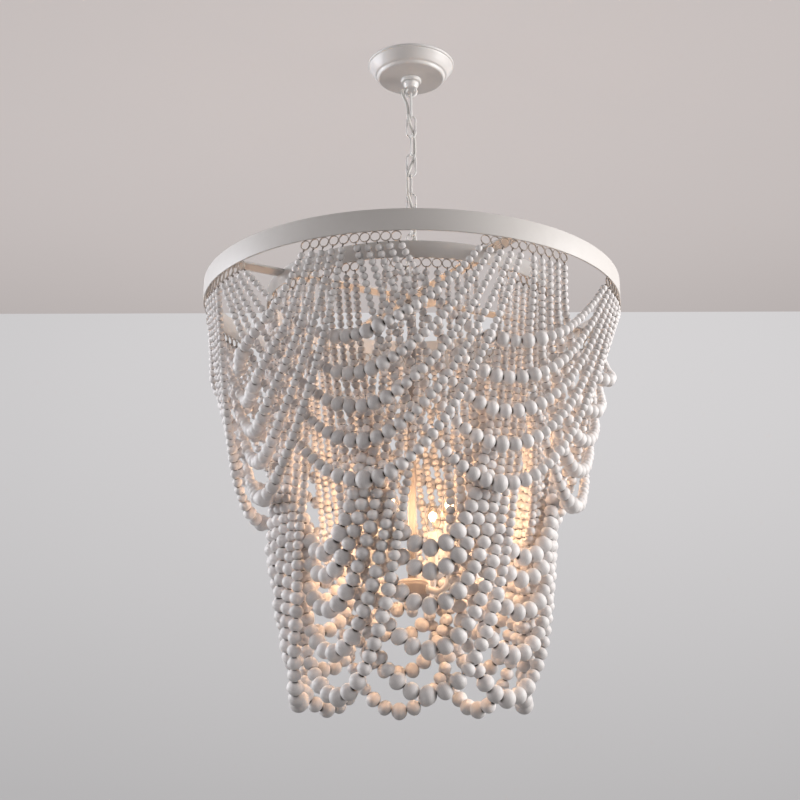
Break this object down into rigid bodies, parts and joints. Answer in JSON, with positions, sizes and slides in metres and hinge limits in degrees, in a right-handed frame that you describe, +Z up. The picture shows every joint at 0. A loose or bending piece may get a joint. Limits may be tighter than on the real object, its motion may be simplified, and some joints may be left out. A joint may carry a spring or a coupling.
{
  "type": "beaded chandelier",
  "caption": "Round pendant chandelier: painted ring bands hung by a link chain from a stepped ceiling canopy, with crossing swags of beads in tiers around candle lamps.",
  "frame": {"origin": "on the ceiling, at the middle of the crossbar's flat top, on the chandelier's upright axis", "axes": "+Z up, out of the ceiling face; the picture looks along +Y and a little up, with +X to its right"},
  "size_m": [0.613, 0.613, 0.9817],
  "materials": {
    "zinc_steel": "bright zinc plate",
    "white_enamel": "satin white enamel",
    "white_pvc": "smooth white plastic",
    "ivory_plastic": "smooth ivory plastic",
    "lamp_glass": "clear glass with a warm glow",
    "painted_wood": "chalky white paint over turned wood"
  },
  "bodies": {
    "ceiling_fitting": {"ceiling_crossbar": "zinc_steel", "threaded_nipple": "zinc_steel", "nipple_locknut": "zinc_steel", "terminal_block": "white_pvc", "canopy": "white_enamel", "canopy_collar": "white_enamel", "hang_loop": "white_enamel", "supply_cable": "white_pvc"},
    "top_link": {"top_link": "white_enamel"},
    "chain_link_1": {"chain_link_1": "white_enamel"},
    "chain_link_2": {"chain_link_2": "white_enamel"},
    "chain_link_3": {"chain_link_3": "white_enamel"},
    "chain_link_4": {"chain_link_4": "white_enamel"},
    "chain_link_5": {"chain_link_5": "white_enamel"},
    "chain_link_6": {"chain_link_6": "white_enamel"},
    "chain_link_7": {"chain_link_7": "white_enamel"},
    "chain_link_8": {"chain_link_8": "white_enamel"},
    "hanging_frame": {"frame_loop": "white_enamel", "outer_ring": "white_enamel", "inner_ring": "white_enamel", "cross_bar_over": "white_enamel", "cross_bar_under": "white_enamel", "hub_plate": "white_enamel", "stem_nut": "zinc_steel", "upper_strands_1": "painted_wood", "upper_strands_2": "painted_wood", "upper_strands_3": "painted_wood", "upper_strands_4": "painted_wood", "upper_strands_5": "painted_wood", "upper_strands_6": "painted_wood", "upper_strands_7": "painted_wood", "upper_strands_8": "painted_wood", "lower_strands_1": "painted_wood", "lower_strands_2": "painted_wood", "lower_strands_3": "painted_wood", "lower_strands_4": "painted_wood", "lower_strands_5": "painted_wood", "lower_strands_6": "painted_wood", "lower_strands_7": "painted_wood", "lower_strands_8": "painted_wood", "stem": "white_enamel", "lamp_hub": "white_enamel", "finial": "white_enamel", "lamp_arm_1": "white_enamel", "drip_pan_1": "white_enamel", "candle_sleeve_1": "ivory_plastic", "bulb_1": "lamp_glass", "lamp_arm_2": "white_enamel", "drip_pan_2": "white_enamel", "candle_sleeve_2": "ivory_plastic", "bulb_2": "lamp_glass", "lamp_arm_3": "white_enamel", "drip_pan_3": "white_enamel", "candle_sleeve_3": "ivory_plastic", "bulb_3": "lamp_glass", "lamp_arm_4": "white_enamel", "drip_pan_4": "white_enamel", "candle_sleeve_4": "ivory_plastic", "bulb_4": "lamp_glass"}
  },
  "joints": [
    {"name": "top_link_swing", "type": "hinge", "parent": "ceiling_fitting", "child": "top_link", "pos_m": [0, 0, -0.05385], "axis": [1, 0, 0], "range_deg": [-8, 8], "deforming": ["supply_cable"]},
    {"name": "chain_link_1_swing", "type": "hinge", "parent": "top_link", "child": "chain_link_1", "pos_m": [0, 0, -0.09135], "axis": [0, 1, 0], "range_deg": [-8, 8], "deforming": ["supply_cable"]},
    {"name": "chain_link_2_swing", "type": "hinge", "parent": "chain_link_1", "child": "chain_link_2", "pos_m": [0, 0, -0.1236], "axis": [1, 0, 0], "range_deg": [-8, 8], "deforming": ["supply_cable"]},
    {"name": "chain_link_3_swing", "type": "hinge", "parent": "chain_link_2", "child": "chain_link_3", "pos_m": [0, 0, -0.1561], "axis": [0, 1, 0], "range_deg": [-8, 8], "deforming": ["supply_cable"]},
    {"name": "chain_link_4_swing", "type": "hinge", "parent": "chain_link_3", "child": "chain_link_4", "pos_m": [0, 0, -0.1886], "axis": [1, 0, 0], "range_deg": [-8, 8], "deforming": ["supply_cable"]},
    {"name": "chain_link_5_swing", "type": "hinge", "parent": "chain_link_4", "child": "chain_link_5", "pos_m": [0, 0, -0.2211], "axis": [0, 1, 0], "range_deg": [-8, 8], "deforming": ["supply_cable"]},
    {"name": "chain_link_6_swing", "type": "hinge", "parent": "chain_link_5", "child": "chain_link_6", "pos_m": [0, 0, -0.2536], "axis": [1, 0, 0], "range_deg": [-8, 8], "deforming": ["supply_cable"]},
    {"name": "chain_link_7_swing", "type": "hinge", "parent": "chain_link_6", "child": "chain_link_7", "pos_m": [0, 0, -0.2861], "axis": [0, 1, 0], "range_deg": [-8, 8], "deforming": ["supply_cable"]},
    {"name": "chain_link_8_swing", "type": "hinge", "parent": "chain_link_7", "child": "chain_link_8", "pos_m": [0, 0, -0.3186], "axis": [1, 0, 0], "range_deg": [-8, 8], "deforming": ["supply_cable"]},
    {"name": "frame_swing", "type": "hinge", "parent": "chain_link_8", "child": "hanging_frame", "pos_m": [0, 0, -0.3511], "axis": [0, 1, 0], "range_deg": [-8, 8], "deforming": ["supply_cable"]}
  ]
}
